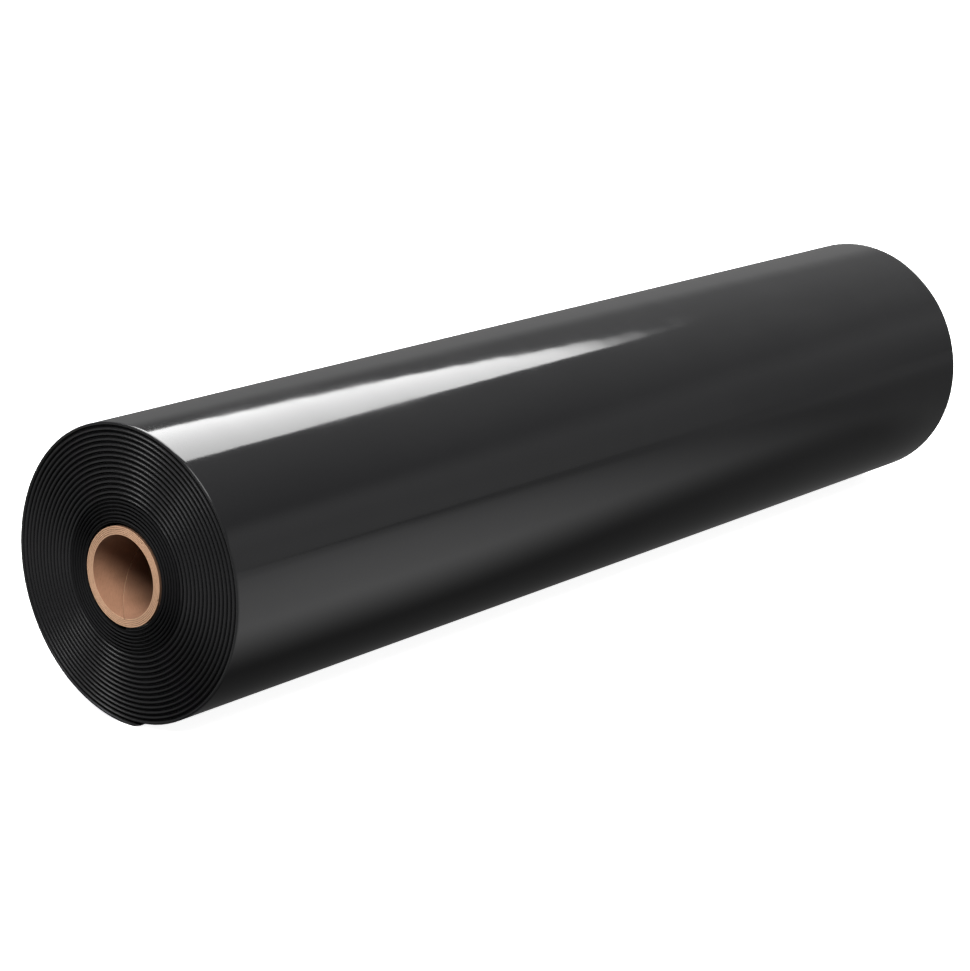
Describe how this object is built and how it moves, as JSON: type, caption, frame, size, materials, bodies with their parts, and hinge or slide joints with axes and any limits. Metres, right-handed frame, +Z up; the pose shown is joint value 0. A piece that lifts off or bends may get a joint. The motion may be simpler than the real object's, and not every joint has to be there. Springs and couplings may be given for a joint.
{
  "type": "roll of sign vinyl",
  "caption": "Jumbo roll of gloss black self-adhesive sign film on its release liner, wound face out on a paperboard core, lying on its side.",
  "frame": {"origin": "on the floor under the middle of the roll, at the centre of its box", "axes": "+X along the roll's axis, from the end that faces the camera to the far end; +Z up; the free end of the web runs down the +Y side"},
  "size_m": [1.224, 0.2788, 0.2807],
  "materials": {
    "kraft_face_ply": "smooth kraft face ply, matte",
    "core_board": "raw core board, matte",
    "clear_tape": "double-sided starter tape",
    "release_liner": "silicone-coated release paper, dark, satin",
    "black_film": "gloss black calendered film"
  },
  "bodies": {
    "root": {"core_inner_ply": "kraft_face_ply", "core_body_ply_1": "core_board", "core_body_ply_2": "core_board", "core_body_ply_3": "core_board", "core_outer_ply": "kraft_face_ply", "starter_tape": "clear_tape", "release_liner": "release_liner", "face_film": "black_film"}
  },
  "joints": []
}
